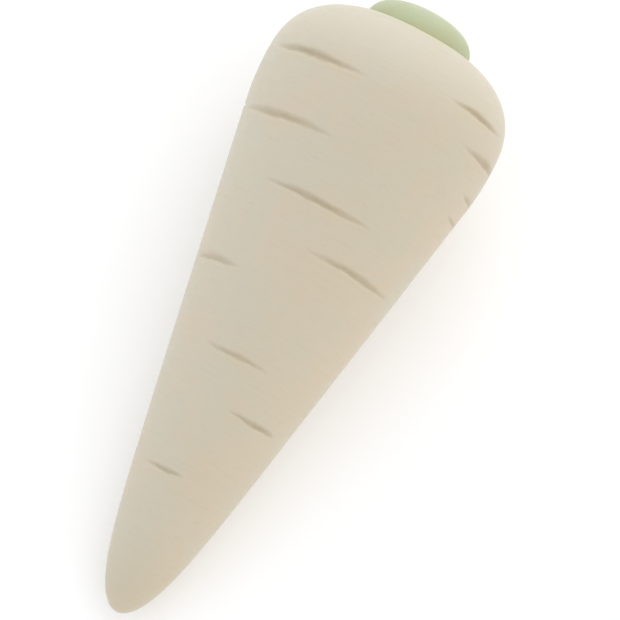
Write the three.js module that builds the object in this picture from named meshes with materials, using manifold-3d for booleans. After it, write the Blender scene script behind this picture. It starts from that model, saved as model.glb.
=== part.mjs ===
// A whole parsnip lying on its side: a stout tapered root, creased crosswise, with the green stub of its
// trimmed leaf stalks on the crown. Millimetres, +Z up, the surface it lies on at Z = 0.
//
// Both pieces are modelled along the root's own axis, from the tip at X = 0 towards the crown. A place on
// the skin is a station, its distance from the tip along that axis, and an angle round it: 0 on top,
// 90 towards +Y and 180 underneath. The group then leans the axis by the slope of the taper, so that the
// lowest line of the taper lies along the surface, where growth has pressed a narrow flat.
import * as THREE from "three";
import { mergeVertices } from "three/addons/utils/BufferGeometryUtils.js";
import Module from "manifold-3d";

const wasm = await Module();
wasm.setup();

// ---- Driving dimensions ----

const SHOULDER_RADIUS = 32; // the root's greatest radius
const SHOULDER_STATION = 141; // where it is reached
const TAPER = 0.18; // radius lost per millimetre from the shoulder towards the tip
const SHOULDER_EASE = 12.5; // length over which the taper levels out into the shoulder
const TIP_ROUNDING = 8.6; // length scale of the blunt tip
const CROWN_HEIGHT = 22.5; // from the widest station to the top of the crown
const CROWN_POWER = 2.6; // 2 would make the crown an ellipse, more squares its shoulders
const FLAT_DEPTH = 0.6; // how deep the resting flat is pressed into the taper

const STUB_RADIUS = 14.35; // the leaf stalks' stub, a low dome
const STUB_STATION = 161.2; // where the dome would be widest, just under the crown's skin
const STUB_HEIGHT = 8.15;
const STUB_POWER = 2.35; // as the crown's
const STUB_FOOT_RADIUS = 14.2; // where it meets the crown
const STALK_BASES = 5; // stalk bases fused side by side in the stub
const STALK_RELIEF = 0.3; // how far each of them bulges between its neighbours
const CLEARANCE = 0.3; // between the stub and the crown

const X_CENTRE = 83.6; // from the tip to the middle of the whole length, along X

// Creases in the skin: the station, the angles that each runs between, its greatest width and depth, skew,
// which moves the widest place towards the second angle (up to 0.4) or the first (down to -0.4), and bow, by
// which its ends bend towards the tip.
const CREASES = [
  { station: 147.8, from: -69, to: -28, width: 1.9, depth: 1.15, skew: 0.02, bow: 0.5 },
  { station: 142.3, from: 11, to: 68, width: 2.4, depth: 1.2, skew: 0.08, bow: 0.3 },
  { station: 139.7, from: -90, to: -43, width: 2.4, depth: 1.2, skew: -0.2, bow: 0.3 },
  { station: 130.3, from: -90, to: -62, width: 1.8, depth: 0.85, skew: -0.05, bow: 0.1 },
  { station: 125.6, from: 11, to: 74, width: 2.4, depth: 1.0, skew: 0.05, bow: 0.3 },
  { station: 123.8, from: -89, to: -63, width: 1.3, depth: 0.7, skew: 0, bow: 0.1 },
  { station: 110.2, from: -27, to: 38, width: 2.1, depth: 1.0, skew: 0.02, bow: 0.2 },
  { station: 98.9, from: -67, to: 2, width: 2.0, depth: 0.9, skew: -0.03, bow: 0.3 },
  { station: 88.0, from: 31, to: 80, width: 2.2, depth: 0.85, skew: -0.05, bow: 0.1 },
  { station: 68.2, from: -18, to: 35, width: 1.8, depth: 0.75, skew: 0.05, bow: 0 },
  { station: 55.6, from: -56, to: -1, width: 1.8, depth: 0.9, skew: -0.2, bow: 0 },
  { station: 36.1, from: 2, to: 52, width: 1.6, depth: 0.75, skew: -0.2, bow: 0 },
];
const CREASE_LEAN = 0.0645; // slope of the creases' planes, nearer the crown on top than below
const FAR_SIDE_SHIFT = 3.5; // by which the far side's creases lie towards the tip or the crown
const FAR_SIDE_JITTER = 14; // degrees by which they stray from straight opposite
const FAR_SIDE_SEED = 7;

// Uneven growth: the share of the radius that it adds, its waves round the root, the radians by which they
// turn from tip to crown, and where they start.
const SWELLS = [
  { share: 0.005, waves: 2, turn: 3, start: 1.1 },
  { share: 0.004, waves: 3, turn: 7, start: -2.2 },
  { share: 0.003, waves: 1, turn: 17, start: -1.6 },
];

// ---- Fineness of the solids ----

const ROOT_SIDES = 60;
const TIP_LENGTH = 22; // stretch over which the rows crowd towards the tip
const TIP_ROWS = 8;
const TAPER_ROWS = 16;
const EASE_ROWS = 4;
const CROWN_ROWS = 12;
const STUB_SIDES = 40;
const STUB_ROWS = 7;
const CREASE_SIDES = 8;
const CREASE_STEPS = 12;
const CREASE_OVERLAP = 0.1; // how far a crease's ends stand off the skin before they are cut away
const WELD_DISTANCE = 1e-4;

const radians = THREE.MathUtils.degToRad;
const lean = Math.atan(TAPER);
const rootLength = SHOULDER_STATION + CROWN_HEIGHT;
const easeStart = SHOULDER_STATION - SHOULDER_EASE;
const tipRadius = SHOULDER_RADIUS - TAPER * (SHOULDER_STATION - SHOULDER_EASE / 2);

// ---- The root's form ----

// Radius of the straight taper and of the curve that eases it into the shoulder.
function taperRadius(station) {
  if (station < easeStart) return tipRadius + TAPER * station;
  const left = SHOULDER_STATION - station;
  return SHOULDER_RADIUS - (TAPER * left * left) / (2 * SHOULDER_EASE);
}

// Radius of the even root at a station, from the blunt tip to the top of the crown.
function rootRadius(station) {
  if (station > SHOULDER_STATION) {
    const rise = Math.min((station - SHOULDER_STATION) / CROWN_HEIGHT, 1);
    return SHOULDER_RADIUS * (1 - rise ** CROWN_POWER) ** (1 / CROWN_POWER);
  }
  return taperRadius(station) * Math.sqrt(1 - Math.exp(-Math.max(station, 0) / TIP_ROUNDING));
}

// Station of the crown's skin at a radius.
function crownStation(radius) {
  const share = (radius / SHOULDER_RADIUS) ** CROWN_POWER;
  return SHOULDER_STATION + CROWN_HEIGHT * (1 - share) ** (1 / CROWN_POWER);
}

// Share by which growth makes the root swell or shrink at a place: none at its ends or where it rests.
function unevenness(station, angle) {
  const along = THREE.MathUtils.clamp(station / rootLength, 0, 1);
  const fade = Math.sin(Math.PI * along) * Math.cos(angle / 2) ** 2;
  let swell = 0;
  for (const { share, waves, turn, start } of SWELLS) {
    swell += share * Math.cos(waves * angle + turn * along + start);
  }
  return fade * swell;
}

// Point of the skin, or off it by rise, in the root's own frame.
function skinPoint(station, angle, rise = 0) {
  const radius = rootRadius(station) * (1 + unevenness(station, angle)) + rise;
  return new THREE.Vector3(station, radius * Math.sin(angle), radius * Math.cos(angle));
}

// ---- Geometry helpers ----

// The geometry with only its positions, its shared vertices merged.
function welded(geometry) {
  geometry.deleteAttribute("normal");
  geometry.deleteAttribute("uv");
  return mergeVertices(geometry, WELD_DISTANCE);
}

// Moves every vertex to move(x, y, z).
function reshape(geometry, move) {
  const position = geometry.getAttribute("position");
  for (let i = 0; i < position.count; i++) {
    const to = move(position.getX(i), position.getY(i), position.getZ(i));
    position.setXYZ(i, to.x, to.y, to.z);
  }
  return geometry;
}

// A profile of (radius, station) points turned round the X axis.
function turned(profile, sides) {
  return welded(new THREE.LatheGeometry(profile, sides).rotateZ(-Math.PI / 2));
}

function toSolid(geometry) {
  return new wasm.Manifold(
    new wasm.Mesh({
      numProp: 3,
      vertProperties: new Float32Array(geometry.getAttribute("position").array),
      triVerts: new Uint32Array(geometry.index.array),
    }),
  );
}

function toGeometry(solid) {
  const { vertProperties, triVerts } = solid.getMesh();
  return new THREE.BufferGeometry()
    .setAttribute("position", new THREE.BufferAttribute(vertProperties, 3))
    .setIndex(new THREE.BufferAttribute(triVerts, 1));
}

// ---- The root ----

function rootProfile() {
  const stations = [];
  for (let i = 0; i < TIP_ROWS; i++) stations.push(TIP_LENGTH * (i / TIP_ROWS) ** 2);
  for (let i = 0; i < TAPER_ROWS; i++) {
    stations.push(THREE.MathUtils.lerp(TIP_LENGTH, easeStart, i / TAPER_ROWS));
  }
  for (let i = 0; i < EASE_ROWS; i++) stations.push(easeStart + (SHOULDER_EASE * i) / EASE_ROWS);
  const profile = stations.map((station) => new THREE.Vector2(rootRadius(station), station));
  for (let i = 0; i < CROWN_ROWS; i++) {
    const turn = ((Math.PI / 2) * i) / CROWN_ROWS;
    const radius = SHOULDER_RADIUS * Math.cos(turn) ** (2 / CROWN_POWER);
    profile.push(new THREE.Vector2(radius, crownStation(radius)));
  }
  profile.push(new THREE.Vector2(0, rootLength));
  return profile;
}

function rootBody() {
  return reshape(turned(rootProfile(), ROOT_SIDES), (x, y, z) => {
    const swell = 1 + unevenness(x, Math.atan2(y, z));
    return new THREE.Vector3(x, y * swell, z * swell);
  });
}

// A crease as a body: a sphere drawn out along it, pinched at both ends and wrapped round the root.
function creaseBody({ station, from, to, width, depth, skew, bow }) {
  const middle = radians((from + to) / 2);
  const halfSpan = radians((to - from) / 2);
  const slant = CREASE_LEAN * rootRadius(station);
  const sphere = welded(new THREE.SphereGeometry(1, CREASE_SIDES, CREASE_STEPS));
  return reshape(sphere, (x, y, z) => {
    const angle = middle + halfSpan * (y + skew * (1 - y * y));
    const pinch = Math.sqrt(Math.max(1 - y * y, 0));
    const across = (x * pinch * width) / 2 + slant * Math.cos(angle) - bow * y * y;
    return skinPoint(station + across, angle, z * pinch * depth + CREASE_OVERLAP);
  });
}

// Park and Miller's generator: the same run of numbers from 0 to 1 each time.
function seeded(seed) {
  const multiplier = 16807;
  const modulus = 2147483647;
  let state = seed;
  return () => {
    state = (state * multiplier) % modulus;
    return state / modulus;
  };
}

// Each crease has a fellow on the far side, a little off straight opposite.
function farSide(creases) {
  const draw = seeded(FAR_SIDE_SEED);
  return creases.map((crease, i) => {
    const turn = 180 + FAR_SIDE_JITTER * (2 * draw() - 1);
    const shift = (i % 2 ? -1 : 1) * FAR_SIDE_SHIFT;
    const { from, to, station } = crease;
    return { ...crease, station: station + shift, from: from + turn, to: to + turn };
  });
}

// The surface that the root lies on, as a slab that reaches FLAT_DEPTH into the lowest line of the taper.
function restingSlab() {
  const thickness = 40;
  const reach = 2 * rootLength;
  const depth = tipRadius * Math.cos(lean) - FLAT_DEPTH;
  const slab = new THREE.BoxGeometry(reach, reach, thickness);
  slab.translate(0, 0, -depth - thickness / 2);
  return welded(slab.rotateY(lean));
}

function creasedRoot() {
  let solid = toSolid(rootBody());
  for (const crease of [...CREASES, ...farSide(CREASES)]) {
    solid = solid.subtract(toSolid(creaseBody(crease)));
  }
  return toGeometry(solid.subtract(toSolid(restingSlab())));
}

// ---- The leaf stalks' stub ----

// Up the underside, which follows the crown, and over the dome.
function stubProfile() {
  const profile = [];
  for (let i = 0; i < STUB_ROWS; i++) {
    const radius = (STUB_FOOT_RADIUS * i) / STUB_ROWS;
    profile.push(new THREE.Vector2(radius, crownStation(radius) + CLEARANCE));
  }
  const foot = (crownStation(STUB_FOOT_RADIUS) + CLEARANCE - STUB_STATION) / STUB_HEIGHT;
  const start = Math.asin(foot ** (STUB_POWER / 2));
  for (let i = 0; i < STUB_ROWS; i++) {
    const turn = THREE.MathUtils.lerp(start, Math.PI / 2, i / STUB_ROWS);
    const radius = STUB_RADIUS * Math.cos(turn) ** (2 / STUB_POWER);
    const height = STUB_HEIGHT * Math.sin(turn) ** (2 / STUB_POWER);
    profile.push(new THREE.Vector2(radius, STUB_STATION + height));
  }
  profile.push(new THREE.Vector2(0, STUB_STATION + STUB_HEIGHT));
  return profile;
}

function leafStub() {
  return reshape(turned(stubProfile(), STUB_SIDES), (x, y, z) => {
    const outward = Math.hypot(y, z) / STUB_RADIUS;
    const lobe = Math.abs(Math.cos((STALK_BASES / 2) * Math.atan2(y, z)));
    const bulge = 1 + (STALK_RELIEF / STUB_RADIUS) * outward * (lobe - 1);
    return new THREE.Vector3(x, y * bulge, z * bulge);
  });
}

// ---- The parsnip ----

const skin = new THREE.MeshStandardMaterial({ color: 0xd6cab2, roughness: 0.6, metalness: 0 });
const stalkGreen = new THREE.MeshStandardMaterial({ color: 0xc0c69c, roughness: 0.55, metalness: 0 });

const taproot = new THREE.Mesh(creasedRoot(), skin);
taproot.name = "taproot";

const stub = new THREE.Mesh(leafStub(), stalkGreen);
stub.name = "leaf_stub";

const parsnip = new THREE.Group();
parsnip.add(taproot, stub);
parsnip.rotation.y = -lean;
parsnip.position.set(-X_CENTRE, 0, tipRadius * Math.cos(lean) - FLAT_DEPTH);

export default parsnip;
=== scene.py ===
"""The finish of a parsnip that lies on its side, in metres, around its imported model.

A place on the skin is a station, its distance from the tip along the root's own axis, and an angle round
that axis: 0 on top, pi/2 towards +Y and pi underneath. The axis leans by the slope of the taper, so that
the lowest line of the taper lies along the floor.
"""
import math

import bpy
import numpy as np
from mathutils import Matrix, Vector


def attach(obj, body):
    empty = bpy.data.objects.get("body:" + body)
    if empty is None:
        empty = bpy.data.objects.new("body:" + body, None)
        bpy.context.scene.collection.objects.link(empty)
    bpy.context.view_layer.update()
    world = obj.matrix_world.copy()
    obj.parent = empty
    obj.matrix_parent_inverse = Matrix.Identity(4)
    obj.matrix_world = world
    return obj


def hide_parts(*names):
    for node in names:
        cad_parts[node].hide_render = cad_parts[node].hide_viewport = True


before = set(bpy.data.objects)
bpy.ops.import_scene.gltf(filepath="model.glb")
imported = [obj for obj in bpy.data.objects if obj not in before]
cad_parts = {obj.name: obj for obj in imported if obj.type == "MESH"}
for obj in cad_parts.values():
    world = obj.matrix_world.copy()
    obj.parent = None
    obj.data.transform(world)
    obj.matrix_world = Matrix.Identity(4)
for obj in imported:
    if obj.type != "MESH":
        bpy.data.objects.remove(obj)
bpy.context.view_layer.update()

MM = 0.001

# ---- The root's form, as in the solids ----

SHOULDER_RADIUS = 32 * MM  # the root's greatest radius
SHOULDER_STATION = 141 * MM  # where it is reached
TAPER = 0.18  # radius lost for each unit of length from the shoulder towards the tip
SHOULDER_EASE = 12.5 * MM  # length over which the taper levels out into the shoulder
TIP_ROUNDING = 8.6 * MM  # length scale of the blunt tip
CROWN_HEIGHT = 22.5 * MM  # from the widest station to the top of the crown
CROWN_POWER = 2.6  # 2 would make the crown an ellipse, more squares its shoulders
FLAT_DEPTH = 0.6 * MM  # how deep the resting flat is pressed into the taper
X_CENTRE = 83.6 * MM  # from the tip to the middle of the whole length, along X

ROOT_LENGTH = SHOULDER_STATION + CROWN_HEIGHT
EASE_START = SHOULDER_STATION - SHOULDER_EASE
TIP_RADIUS = SHOULDER_RADIUS - TAPER * (SHOULDER_STATION - SHOULDER_EASE / 2)
LEAN = math.atan(TAPER)
AXIS = Vector((math.cos(LEAN), 0, math.sin(LEAN)))
UP_FROM_AXIS = Vector((-math.sin(LEAN), 0, math.cos(LEAN)))
TIP = Vector((-X_CENTRE, 0, TIP_RADIUS * math.cos(LEAN) - FLAT_DEPTH))

# Uneven growth: the share of the radius that it adds, its waves round the root, the radians by which they
# turn from tip to crown, and where they start.
SWELLS = ((0.005, 2, 3, 1.1), (0.004, 3, 7, -2.2), (0.003, 1, 17, -1.6))

# ---- The leaf stalks' stub ----

STUB_RADIUS = 14.35 * MM
STUB_STATION = 161.2 * MM  # where its dome would be widest, just under the crown's skin
STUB_HEIGHT = 8.15 * MM
STUB_POWER = 2.35  # as the crown's
STUB_FOOT_RADIUS = 14.2 * MM  # where it meets the crown
STUB_SINK = 0.4 * MM  # by which its foot goes below the crown's skin
STUB_CLOSING = 0.5 * MM  # from its foot down to the point that closes it, inside the root
STALK_BASES = 5  # stalk bases fused side by side
STALK_RELIEF = 0.3 * MM  # how far each of them bulges between its neighbours

# ---- Creases ----

# Each has its station, its greatest width and depth and its bow in millimetres, and the degrees that it
# runs between. Skew moves the widest place towards the end (up to 0.4) or the start (down to -0.4), and
# bow bends both ends towards the tip.
CREASES = [
    dict(station=147.8, start=-69, end=-28, width=1.9, depth=1.15, skew=0.02, bow=0.5),
    dict(station=142.3, start=11, end=68, width=2.4, depth=1.2, skew=0.08, bow=0.3),
    dict(station=139.7, start=-90, end=-43, width=2.4, depth=1.2, skew=-0.2, bow=0.3),
    dict(station=130.3, start=-90, end=-62, width=1.8, depth=0.85, skew=-0.05, bow=0.1),
    dict(station=125.6, start=11, end=74, width=2.4, depth=1.0, skew=0.05, bow=0.3),
    dict(station=123.8, start=-89, end=-63, width=1.3, depth=0.7, skew=0, bow=0.1),
    dict(station=110.2, start=-27, end=38, width=2.1, depth=1.0, skew=0.02, bow=0.2),
    dict(station=98.9, start=-67, end=2, width=2.0, depth=0.9, skew=-0.03, bow=0.3),
    dict(station=88.0, start=31, end=80, width=2.2, depth=0.85, skew=-0.05, bow=0.1),
    dict(station=68.2, start=-18, end=35, width=1.8, depth=0.75, skew=0.05, bow=0),
    dict(station=55.6, start=-56, end=-1, width=1.8, depth=0.9, skew=-0.2, bow=0),
    dict(station=36.1, start=2, end=52, width=1.6, depth=0.75, skew=-0.2, bow=0),
]
CREASE_LEAN = 0.0645  # slope of the creases' planes, nearer the crown on top than below
FAR_SIDE_SHIFT = 3.5  # millimetres by which the far side's creases lie towards the tip or the crown
FAR_SIDE_JITTER = 14  # degrees by which they stray from straight opposite
FAR_SIDE_SEED = 7

# A crease's edges are ragged and its middle wavers, by waves along it. Each wave has its height, a share
# of the width for the edges and millimetres for the middle, its radians from the crease's middle to its
# end, and the radians by which it starts later on each crease than on the one before.
EDGE_WAVES = ((0.12, 9, 3.1), (0.10, 23, 1.7))
MIDDLE_WAVES = ((0.10, 5.2, 1), (0.06, 17, 2.3))

# A crease's section, in half widths from its middle: a steep wall towards the tip with a low lip beyond it,
# and a gentle slope towards the crown.
WALL_TOP = -1.1
DEEPEST = -0.25
SLOPE_TOP = 1.3
LIP_MIDDLE = -1.6
LIP_SPREAD = 0.5
LIP_SHARE = 0.10  # of the crease's depth
END_WIDTH = 0.3  # share of the greatest width that is left at a crease's ends, where its depth is nil
REACHED_DEPTH = 0.88  # share of its depth that a crease reaches under its softened edges
FADE = 1.1  # how fast a crease fades towards its ends, where 1 is a parabola

# The band of painted shade, with a brown tint, along a crease, in half widths from its middle.
BAND_START = -1.3
BAND_FULL = -0.75
BAND_FADING = 0.1
BAND_END = 1.2

# Painted light: a warm glow painted on the skin just tipward of each crease, where its low lip faces the
# lamp.
LIP_LIGHT_DISTANCE = 1.9 * MM  # from a crease's middle to the middle of the painted warm light on its tip side
LIP_LIGHT_SPREAD = 0.9 * MM

# ---- Fineness of the meshes ----

ROOT_COLUMNS = 120
ROOT_ROWS = 810
PROFILE_POINTS = 4001  # on the taper and again on the crown, to space the rows by
TIP_CROWDING = 1.3  # 1 would space those on the taper evenly, more crowds them towards the tip
STUB_COLUMNS = 200
STUB_ROWS = 60

# ---- Looks ----

# Features to the metre in each pattern, along, across and above the root's axis.
SKIN_CLOUDS = (45, 60, 60)
SKIN_PATCHES = (110, 80, 80)
SKIN_RINGS = (900, 70, 70)
SKIN_PORES = (1700, 330, 330)
SKIN_GRAIN = (2600, 1400, 1400)
SKIN_GLOSS = (500, 240, 240)
LIP_LIGHT_PATCHES = (300, 160, 160)
CREASE_SPECKLE = (1900, 700, 700)
RIM_PATCHES = (90, 170, 170)
STALK_CLOUDS = (120, 90, 90)
STALK_FIBRES = (90, 1100, 1100)
STALK_GRAIN = (1800, 2200, 2200)
PAPER_CLOUDS = (6, 6, 6)

RING_RELIEF = 0.12 * MM
FIBRE_RELIEF = 0.08 * MM
GRAIN_RELIEF = 0.03 * MM

RIM_REACH = 5.5  # millimetres from the stub to where the crown's skin loses its green tint and painted highlight
RIM_FULL = 0.8  # millimetres from the stub to where it starts to fade
FAR_FROM_STUB = 60  # millimetres, more than any tint reaches, for all skin below the shoulder

# ---- Camera, light and floor ----

HALF_PHOTO = 310  # pixels from the middle of the photograph to its edge
PIXEL_SIZE = 0.25 * MM  # on the parsnip
SENSOR = 36  # millimetres, as is LENS
LENS = 250
VIEW_TILT = math.radians(3.5)  # the view is this much off square to the root's axis, towards the tip
VIEW_ROLL = math.radians(27.7)  # from the picture's upright to the root's axis
VIEW_STATION = 89 * MM  # of the picture's middle
VIEW_ASIDE = -7.8 * MM  # from the root's axis to there, along Y

WARM_SIDE = (1.10, 1.06, 1.02, 1)  # of the sky, towards -Y
COOL_SIDE = (0.96, 1.01, 1.09, 1)  # of the sky, towards +Y
SKY_LOW = 1.15  # its strength at the horizon
SKY_HIGH = 0.85  # its strength overhead
LAMP_PLACE = (0.9, 0.15, 0.75)
LAMP_SIZE = 0.9
LAMP_WATTS = 2.4
FLOOR_SIZE = 6


# ---- Form ----


def smooth(low, high, value):
    """0 below low, 1 above high and an even S between them."""
    share = np.clip((value - low) / (high - low), 0, 1)
    return share * share * (3 - 2 * share)


def taper_radius(station):
    """Radius of the straight taper and of the curve that eases it into the shoulder."""
    left = SHOULDER_STATION - station
    eased = SHOULDER_RADIUS - TAPER * left**2 / (2 * SHOULDER_EASE)
    return np.where(station < EASE_START, TIP_RADIUS + TAPER * station, eased)


def root_radius(station):
    """Radius of the even root, from the blunt tip to the top of the crown."""
    rounded = np.sqrt(1 - np.exp(-np.maximum(station, 0) / TIP_ROUNDING))
    rise = np.clip((station - SHOULDER_STATION) / CROWN_HEIGHT, 0, 1)
    dome = SHOULDER_RADIUS * (1 - rise**CROWN_POWER) ** (1 / CROWN_POWER)
    return np.where(station > SHOULDER_STATION, dome, taper_radius(station) * rounded)


def crown_station(radius):
    """Station of the crown's skin at each radius."""
    share = (radius / SHOULDER_RADIUS) ** CROWN_POWER
    return SHOULDER_STATION + CROWN_HEIGHT * (1 - share) ** (1 / CROWN_POWER)


def unevenness(station, angle):
    """Share by which growth makes the root swell or shrink: none at its ends or where it rests."""
    along = np.clip(station / ROOT_LENGTH, 0, 1)
    fade = np.sin(np.pi * along) * np.cos(angle / 2) ** 2
    swell = 0
    for share, waves, turn, start in SWELLS:
        swell = swell + share * np.cos(waves * angle + turn * along + start)
    return fade * swell


def seeded(seed):
    """Park and Miller's generator: the same run of numbers from 0 to 1 each time."""
    multiplier = 16807
    modulus = 2147483647
    state = seed
    while True:
        state = (state * multiplier) % modulus
        yield state / modulus


def all_creases():
    """The creases and their fellows on the far side, each a little off straight opposite."""
    draw = seeded(FAR_SIDE_SEED)
    creases = list(CREASES)
    for i, crease in enumerate(CREASES):
        turn = 180 + FAR_SIDE_JITTER * (2 * next(draw) - 1)
        fellow = dict(crease, start=crease["start"] + turn, end=crease["end"] + turn)
        fellow["station"] += -FAR_SIDE_SHIFT if i % 2 else FAR_SIDE_SHIFT
        creases.append(fellow)
    return creases


def even_place(place, skew):
    """The place on an even crease, from -1 to 1, that skew * (1 - place**2) has moved to this one."""
    if not skew:
        return place
    under_root = np.maximum(1 - 4 * skew * (place - skew), 0)
    return (1 - np.sqrt(under_root)) / (2 * skew)


def wave_sum(waves, along, number):
    """The waves of the crease with this number, added up at each place along it."""
    return sum(height * np.sin(pace * along + later * number) for height, pace, later in waves)


def crease_course(crease, number, angle):
    """At each angle, a crease's strength (0 at its ends), its middle's station and its half width."""
    middle = math.radians((crease["start"] + crease["end"]) / 2)
    half_span = math.radians((crease["end"] - crease["start"]) / 2)
    turn = (angle - middle + np.pi) % (2 * np.pi) - np.pi
    along = even_place(np.clip(turn / half_span, -1, 1), crease["skew"])
    strength = np.maximum(1 - along**2, 0)
    waver = wave_sum(MIDDLE_WAVES, along, number)
    slant = CREASE_LEAN * root_radius(crease["station"] * MM) * np.cos(angle)
    middle_station = (crease["station"] + waver - crease["bow"] * along**2) * MM + slant
    ragged = 1 + wave_sum(EDGE_WAVES, along, number)
    half_width = (END_WIDTH + (1 - END_WIDTH) * strength) * ragged * crease["width"] / 2 * MM
    return strength, middle_station, half_width


def crease_relief(station, angle):
    """How far each place stands off the even skin, how much painted shade a crease lays on it, which grows
    with the crease's depth, and how much painted warm light lies beside one, from 0 to 1."""
    rise = np.zeros_like(station)
    shade = np.zeros_like(station)
    painted_lip_light = np.zeros_like(station)
    for number, crease in enumerate(all_creases()):
        strength, middle_station, half_width = crease_course(crease, number, angle)
        across = (station - middle_station) / half_width
        groove = smooth(WALL_TOP, DEEPEST, across) * (1 - smooth(DEEPEST, SLOPE_TOP, across))
        lip = LIP_SHARE * np.exp(-(((across - LIP_MIDDLE) / LIP_SPREAD) ** 2))
        rise += REACHED_DEPTH * crease["depth"] * MM * strength**FADE * (lip - groove)
        band = smooth(BAND_START, BAND_FULL, across) * (1 - smooth(BAND_FADING, BAND_END, across))
        shade = np.maximum(shade, band * strength**FADE * crease["depth"])
        # Painted warm light on the skin a little tipward of the crease.
        off_lip_light = (middle_station - station - LIP_LIGHT_DISTANCE) / LIP_LIGHT_SPREAD
        painted_lip_light = np.maximum(painted_lip_light, np.sqrt(strength) * np.exp(-(off_lip_light**2)))
    return rise, shade, painted_lip_light


# ---- Meshes ----


def in_place(station, aside, above):
    """Points from the root's own frame to the frame of the part, as an array of rows."""
    points = np.stack([station, aside, above], axis=-1).reshape(-1, 3)
    basis = np.array([AXIS, (0, 1, 0), UP_FROM_AXIS])
    return points @ basis + np.array(TIP)


def grid_object(name, points, columns, start_point, end_point):
    """A tube of rows of points, one row after another, closed by a point at each end."""
    rows = len(points) // columns
    last_row = (rows - 1) * columns
    start = len(points)
    end = start + 1
    faces = []
    for row in range(rows - 1):
        here = row * columns
        above = here + columns
        for column in range(columns):
            beside = (column + 1) % columns
            faces.append((here + column, above + column, above + beside, here + beside))
    for column in range(columns):
        beside = (column + 1) % columns
        faces.append((start, column, beside))
        faces.append((end, last_row + beside, last_row + column))
    mesh = bpy.data.meshes.new(name)
    mesh.from_pydata([*points.tolist(), tuple(start_point), tuple(end_point)], [], faces)
    mesh.validate()
    mesh.polygons.foreach_set("use_smooth", [True] * len(mesh.polygons))
    piece = bpy.data.objects.new(name, mesh)
    bpy.context.scene.collection.objects.link(piece)
    return piece


def add_attribute(piece, name, values, at_start, at_end):
    """A value for the materials to read, at every point of the rows and at the two that close them."""
    layer = piece.data.attributes.new(name, "FLOAT", "POINT")
    layer.data.foreach_set("value", np.append(values, [at_start, at_end]).astype(np.float32))


def root_rows():
    """Station and radius of each row of the root's points, evenly spaced along its profile."""
    share = np.linspace(0, 1, PROFILE_POINTS)
    taper_station = SHOULDER_STATION * share**TIP_CROWDING
    dome_radius = SHOULDER_RADIUS * np.cos(np.pi / 2 * share) ** (2 / CROWN_POWER)
    stations = np.concatenate([taper_station, crown_station(dome_radius)[1:]])
    radii = np.concatenate([root_radius(taper_station), dome_radius[1:]])
    length = np.concatenate([[0], np.cumsum(np.hypot(np.diff(stations), np.diff(radii)))])
    row_length = np.linspace(0, 1, ROOT_ROWS + 2)[1:-1] * length[-1]
    return np.interp(row_length, length, stations), np.interp(row_length, length, radii)


def make_root():
    """The root's skin, with its creases as real relief and its underside pressed flat on the floor."""
    row_station, row_radius = root_rows()
    angle_row = np.linspace(0, 2 * np.pi, ROOT_COLUMNS, endpoint=False)
    station, angle = np.meshgrid(row_station, angle_row, indexing="ij")
    rise, shade, painted_lip_light = crease_relief(station, angle)
    radius = row_radius[:, None] * (1 + unevenness(station, angle)) + rise
    points = in_place(station, radius * np.sin(angle), radius * np.cos(angle))
    points[:, 2] = np.maximum(points[:, 2], 0)
    root = grid_object("parsnip_root", points, ROOT_COLUMNS, TIP, TIP + AXIS * ROOT_LENGTH)

    from_stub = (radius - STUB_RADIUS) / MM + FAR_FROM_STUB * (station < SHOULDER_STATION)
    add_attribute(root, "crease", shade, 0, 0)
    add_attribute(root, "painted_lip_light", painted_lip_light, 0, 0)
    add_attribute(root, "from_stub", from_stub, FAR_FROM_STUB, 0)
    add_attribute(root, "along", station / ROOT_LENGTH, 0, 1)
    return root


def make_stub():
    """The low green dome of fused stalk bases, its foot just under the crown's skin."""
    foot_station = crown_station(STUB_FOOT_RADIUS) - STUB_SINK
    top_station = STUB_STATION + STUB_HEIGHT
    start = math.asin(((foot_station - STUB_STATION) / STUB_HEIGHT) ** (STUB_POWER / 2))
    turn_row = np.linspace(start, np.pi / 2, STUB_ROWS + 1)[:-1]
    angle_row = np.linspace(0, 2 * np.pi, STUB_COLUMNS, endpoint=False)
    turn, angle = np.meshgrid(turn_row, angle_row, indexing="ij")
    station = STUB_STATION + STUB_HEIGHT * np.sin(turn) ** (2 / STUB_POWER)
    dome_radius = STUB_RADIUS * np.cos(turn) ** (2 / STUB_POWER)
    outward = dome_radius / STUB_RADIUS
    lobe = np.abs(np.cos(STALK_BASES / 2 * angle))
    radius = dome_radius * (1 + STALK_RELIEF / STUB_RADIUS * outward * (lobe - 1))
    points = in_place(station, radius * np.sin(angle), radius * np.cos(angle))
    closing = TIP + AXIS * (foot_station - STUB_CLOSING)
    stub = grid_object("stalk_stub", points, STUB_COLUMNS, closing, TIP + AXIS * top_station)

    add_attribute(stub, "height", (station - foot_station) / (top_station - foot_station), 0, 1)
    # Where painted shade falls, in the valleys between the stalk bases.
    add_attribute(stub, "valley_shade", outward * (1 - lobe), 0, 0)
    return stub


# ---- Node trees ----

# A Mix node's sockets for colours, by number, because its sockets for other values have the same names.
MIX_FIRST = 6
MIX_SECOND = 7
MIX_RESULT = 2


class Nodes:
    """A node tree that is built by short calls."""

    def __init__(self, tree):
        self.tree = tree

    def node(self, kind, inputs=(), **settings):
        """A node, with its settings made and its inputs set or linked."""
        node = self.tree.nodes.new("ShaderNode" + kind)
        for key, value in settings.items():
            setattr(node, key, value)
        self.feed(node, inputs)
        return node

    def feed(self, node, inputs):
        """Sets a node's inputs to values or links them to sockets."""
        for key, value in dict(inputs).items():
            if isinstance(value, bpy.types.NodeSocket):
                self.tree.links.new(value, node.inputs[key])
            else:
                node.inputs[key].default_value = value

    def mix(self, share, first, second):
        """Two colours mixed, with this share of the second."""
        inputs = {"Factor": share, MIX_FIRST: first, MIX_SECOND: second}
        return self.node("Mix", inputs, data_type="RGBA").outputs[MIX_RESULT]


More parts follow.
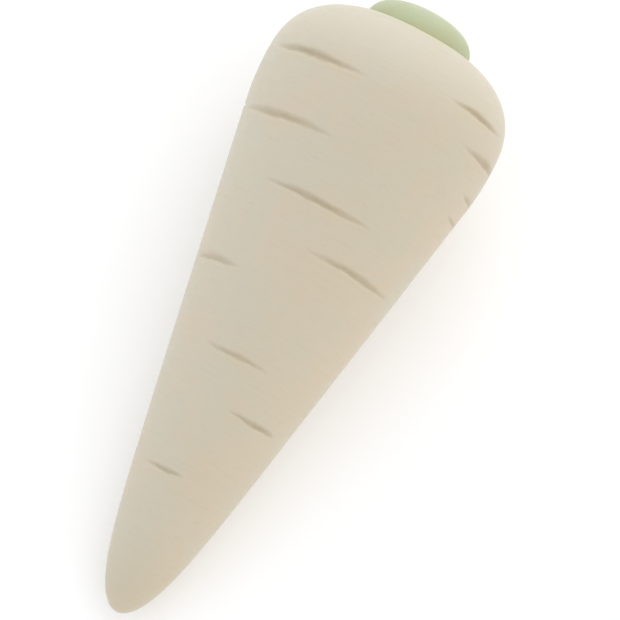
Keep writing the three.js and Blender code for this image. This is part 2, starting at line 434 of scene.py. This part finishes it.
class Shader(Nodes):
    """A material, with its patterns laid out along, across and above the root's axis."""

    def __init__(self, name):
        self.material = bpy.data.materials.new(name)
        self.material.use_nodes = True
        super().__init__(self.material.node_tree)
        where = self.node("TexCoord").outputs["Object"]
        self.place = self.node("Mapping", {"Vector": where, "Rotation": (0, LEAN, 0)}).outputs["Vector"]

    def noise(self, scale, detail=3.0, roughness=0.55):
        """Noise from 0 to 1 with so many features to the metre each way."""
        place = self.node("Mapping", {"Vector": self.place, "Scale": scale}).outputs["Vector"]
        inputs = {"Vector": place, "Scale": 1.0, "Detail": detail, "Roughness": roughness}
        return self.node("TexNoise", inputs).outputs["Fac"]

    def attribute(self, name):
        """A value that the mesh holds at each of its points."""
        return self.node("Attribute", attribute_name=name).outputs["Fac"]

    def span(self, value, low, high, least=0.0, most=1.0):
        """The value brought from low..high to least..most by an even S, and held there."""
        inputs = {"Value": value, "From Min": low, "From Max": high, "To Min": least, "To Max": most}
        return self.node("MapRange", inputs, interpolation_type="SMOOTHSTEP").outputs["Result"]

    def product(self, first, second):
        """The two values multiplied."""
        return self.node("Math", {0: first, 1: second}, operation="MULTIPLY").outputs["Value"]

    def bump(self, height, depth, under=None):
        """Relief of this depth, on top of any relief under it."""
        inputs = {"Height": height, "Distance": depth, "Strength": 1.0}
        if under is not None:
            inputs["Normal"] = under
        return self.node("Bump", inputs).outputs["Normal"]

    def finish(self, inputs):
        """The material, once its surface's inputs are set or linked."""
        self.feed(self.tree.nodes["Principled BSDF"], inputs)
        return self.material


# ---- Materials ----


def skin_material():
    """Matt cream skin: faint warm and greenish clouds, fine rings round the root, creases darkened with
    painted shade and a brown tint, painted warm light below them, painted light towards the crown, a darker
    tan towards the tip that is partly painted shade, and a green rim by the stub with a painted highlight.
    """
    skin = Shader("parsnip_skin")
    cream = (0.592, 0.530, 0.408, 1)
    warm = (0.616, 0.527, 0.396, 1)
    cool = (0.583, 0.537, 0.415, 1)
    crown = (0.619, 0.566, 0.445, 1)
    tan = (0.555, 0.480, 0.345, 1)
    crease_brown = (0.520, 0.440, 0.300, 1)
    lip_light_yellow = (0.615, 0.530, 0.375, 1)
    rim_green_and_highlight = (0.630, 0.625, 0.385, 1)

    clouds = skin.span(skin.noise(SKIN_CLOUDS, detail=2), 0.35, 0.65)
    colour = skin.mix(clouds, cool, warm)
    patches = skin.span(skin.noise(SKIN_PATCHES), 0.3, 0.7, most=0.6)
    colour = skin.mix(patches, colour, cream)

    along = skin.attribute("along")
    # Painted light: the skin is made paler towards the crown, the end that the lamp lights.
    painted_crown_light = skin.span(along, 0.85, 0.955)
    colour = skin.mix(painted_crown_light, colour, crown)
    # Darker tan towards the tip: partly the skin's own tan, partly painted shade.
    tip_tan_and_shade = skin.span(along, 0.16, 0.0, most=0.5)
    colour = skin.mix(tip_tan_and_shade, colour, tan)

    rings = skin.noise(SKIN_RINGS, detail=4, roughness=0.6)
    colour = skin.mix(skin.span(rings, 0.54, 0.72, most=0.22), colour, tan)
    pores = skin.span(skin.noise(SKIN_PORES, detail=2), 0.64, 0.76, most=0.3)
    colour = skin.mix(pores, colour, crease_brown)

    # Painted warm light below each crease, in patches.
    lip_light_patches = skin.span(skin.noise(LIP_LIGHT_PATCHES, detail=2), 0.35, 0.65, least=0.1, most=0.6)
    painted_lip_light = skin.product(skin.attribute("painted_lip_light"), lip_light_patches)
    colour = skin.mix(painted_lip_light, colour, lip_light_yellow)
    # Painted shade in the creases, with a brown tint, a little speckled.
    speckle = skin.span(skin.noise(CREASE_SPECKLE), 0.3, 0.7, least=0.55, most=0.85)
    crease = skin.product(skin.attribute("crease"), speckle)
    colour = skin.mix(crease, colour, crease_brown)

    # A green rim by the stub, paler than the skin: partly its own green, partly a painted highlight.
    near_stub = skin.span(skin.attribute("from_stub"), RIM_REACH, RIM_FULL)
    rim_patches = skin.span(skin.noise(RIM_PATCHES, detail=2), 0.35, 0.65, least=0.6)
    colour = skin.mix(skin.product(near_stub, rim_patches), colour, rim_green_and_highlight)

    grain = skin.noise(SKIN_GRAIN, roughness=0.65)
    return skin.finish({
        "Base Color": colour,
        "Roughness": skin.span(skin.noise(SKIN_GLOSS), 0.3, 0.7, least=0.52, most=0.66),
        "Normal": skin.bump(grain, GRAIN_RELIEF, skin.bump(rings, RING_RELIEF)),
        "Subsurface Weight": 0.2,
        "Subsurface Radius": (1.0, 0.6, 0.35),
        "Subsurface Scale": 2.5 * MM,
        "Sheen Weight": 0.12,
        "Sheen Roughness": 0.4,
    })


def stub_material():
    """Soft green of trimmed stalks: olive at the foot, paler and mintier on top, with upright fibres and
    painted shade in the valleys between the stalk bases.
    """
    stalk = Shader("stalk_green")
    olive = (0.472, 0.470, 0.275, 1)
    leaf = (0.450, 0.490, 0.300, 1)
    mint = (0.443, 0.512, 0.322, 1)
    pale = (0.500, 0.540, 0.370, 1)

    height = stalk.attribute("height")
    colour = stalk.mix(stalk.span(height, 0.0, 0.45), olive, leaf)
    colour = stalk.mix(stalk.span(height, 0.4, 1.0, most=0.8), colour, pale)
    clouds = stalk.noise(STALK_CLOUDS, detail=2)
    colour = stalk.mix(stalk.span(clouds, 0.45, 0.7, most=0.7), colour, mint)
    # Painted shade in the valleys between the stalk bases.
    valley_shade = stalk.span(stalk.attribute("valley_shade"), 0.1, 0.8, most=0.45)
    colour = stalk.mix(valley_shade, colour, olive)
    fibres = stalk.noise(STALK_FIBRES)
    colour = stalk.mix(stalk.span(fibres, 0.5, 0.75, most=0.25), colour, pale)

    grain = stalk.noise(STALK_GRAIN)
    return stalk.finish({
        "Base Color": colour,
        "Roughness": stalk.span(clouds, 0.3, 0.7, least=0.48, most=0.62),
        "Normal": stalk.bump(grain, GRAIN_RELIEF, stalk.bump(fibres, FIBRE_RELIEF)),
        "Subsurface Weight": 0.2,
        "Subsurface Radius": (0.6, 1.0, 0.3),
        "Subsurface Scale": 1.5 * MM,
        "Sheen Weight": 0.1,
    })


def floor_material():
    """Pale paper that glows a little, as on a light table."""
    paper = Shader("pale_floor")
    grey = (0.90, 0.90, 0.895, 1)
    white = (0.915, 0.915, 0.91, 1)
    return paper.finish({
        "Base Color": paper.mix(paper.noise(PAPER_CLOUDS), grey, white),
        "Roughness": 0.9,
        "Specular IOR Level": 0.1,
        "Emission Color": (1, 1, 1, 1),
        "Emission Strength": 0.12,
    })


# ---- Stage ----


def make_floor():
    """A wide sheet of paper at the height that the parsnip lies on."""
    bpy.ops.mesh.primitive_plane_add(size=FLOOR_SIZE)
    floor = bpy.context.object
    floor.name = "floor"
    floor.data.materials.append(floor_material())


def make_sky():
    """White all round, brighter low down, a little warmer on one side and cooler on the other."""
    world = bpy.data.worlds.new("studio")
    bpy.context.scene.world = world
    world.use_nodes = True
    sky = Nodes(world.node_tree)
    where = sky.node("TexCoord").outputs["Generated"]
    towards = sky.node("SeparateXYZ", {"Vector": where}).outputs
    aside = sky.node("MapRange", {"Value": towards["Y"], "From Min": -1.0})
    strength = sky.node("MapRange", {"Value": towards["Z"], "To Min": SKY_LOW, "To Max": SKY_HIGH})
    sky.feed(world.node_tree.nodes["Background"], {
        "Color": sky.mix(aside.outputs["Result"], WARM_SIDE, COOL_SIDE),
        "Strength": strength.outputs["Result"],
    })


def make_lamp():
    """A wide soft lamp beyond the crown, which points at the parsnip."""
    data = bpy.data.lights.new("crown_lamp", "AREA")
    data.size = LAMP_SIZE
    data.energy = LAMP_WATTS
    lamp = bpy.data.objects.new("crown_lamp", data)
    lamp.location = LAMP_PLACE
    lamp.rotation_euler = (-lamp.location).to_track_quat("-Z", "Y").to_euler()
    bpy.context.scene.collection.objects.link(lamp)


def make_camera():
    """Looks down on the parsnip along the photograph's angle to its axis."""
    toward = math.cos(VIEW_TILT) * UP_FROM_AXIS - math.sin(VIEW_TILT) * AXIS
    seen_axis = (AXIS - AXIS.dot(toward) * toward).normalized()
    beside = seen_axis.cross(toward)
    right = math.sin(VIEW_ROLL) * seen_axis + math.cos(VIEW_ROLL) * beside
    up = math.cos(VIEW_ROLL) * seen_axis - math.sin(VIEW_ROLL) * beside
    target = TIP + AXIS * VIEW_STATION + Vector((0, VIEW_ASIDE, 0))
    distance = HALF_PHOTO * PIXEL_SIZE / (SENSOR / 2) * LENS
    data = bpy.data.cameras.new("camera")
    data.lens = LENS
    data.sensor_width = SENSOR
    camera = bpy.data.objects.new("camera", data)
    turned = Matrix((right, up, toward)).transposed().to_4x4()
    camera.matrix_world = Matrix.Translation(target + toward * distance) @ turned
    bpy.context.scene.collection.objects.link(camera)
    bpy.context.scene.camera = camera


# ---- The parsnip ----


def dress(piece, node, material):
    """The piece stands for the node, with its own material, fixed to the root's body while the node's own
    part is hidden.
    """
    piece.data.materials.append(material)
    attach(piece, "root")
    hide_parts(node)


make_camera()
make_sky()
make_lamp()
make_floor()
dress(make_root(), "taproot", skin_material())
dress(make_stub(), "leaf_stub", stub_material())

scene = bpy.context.scene
scene.view_settings.view_transform = "Standard"
scene.view_settings.look = "None"
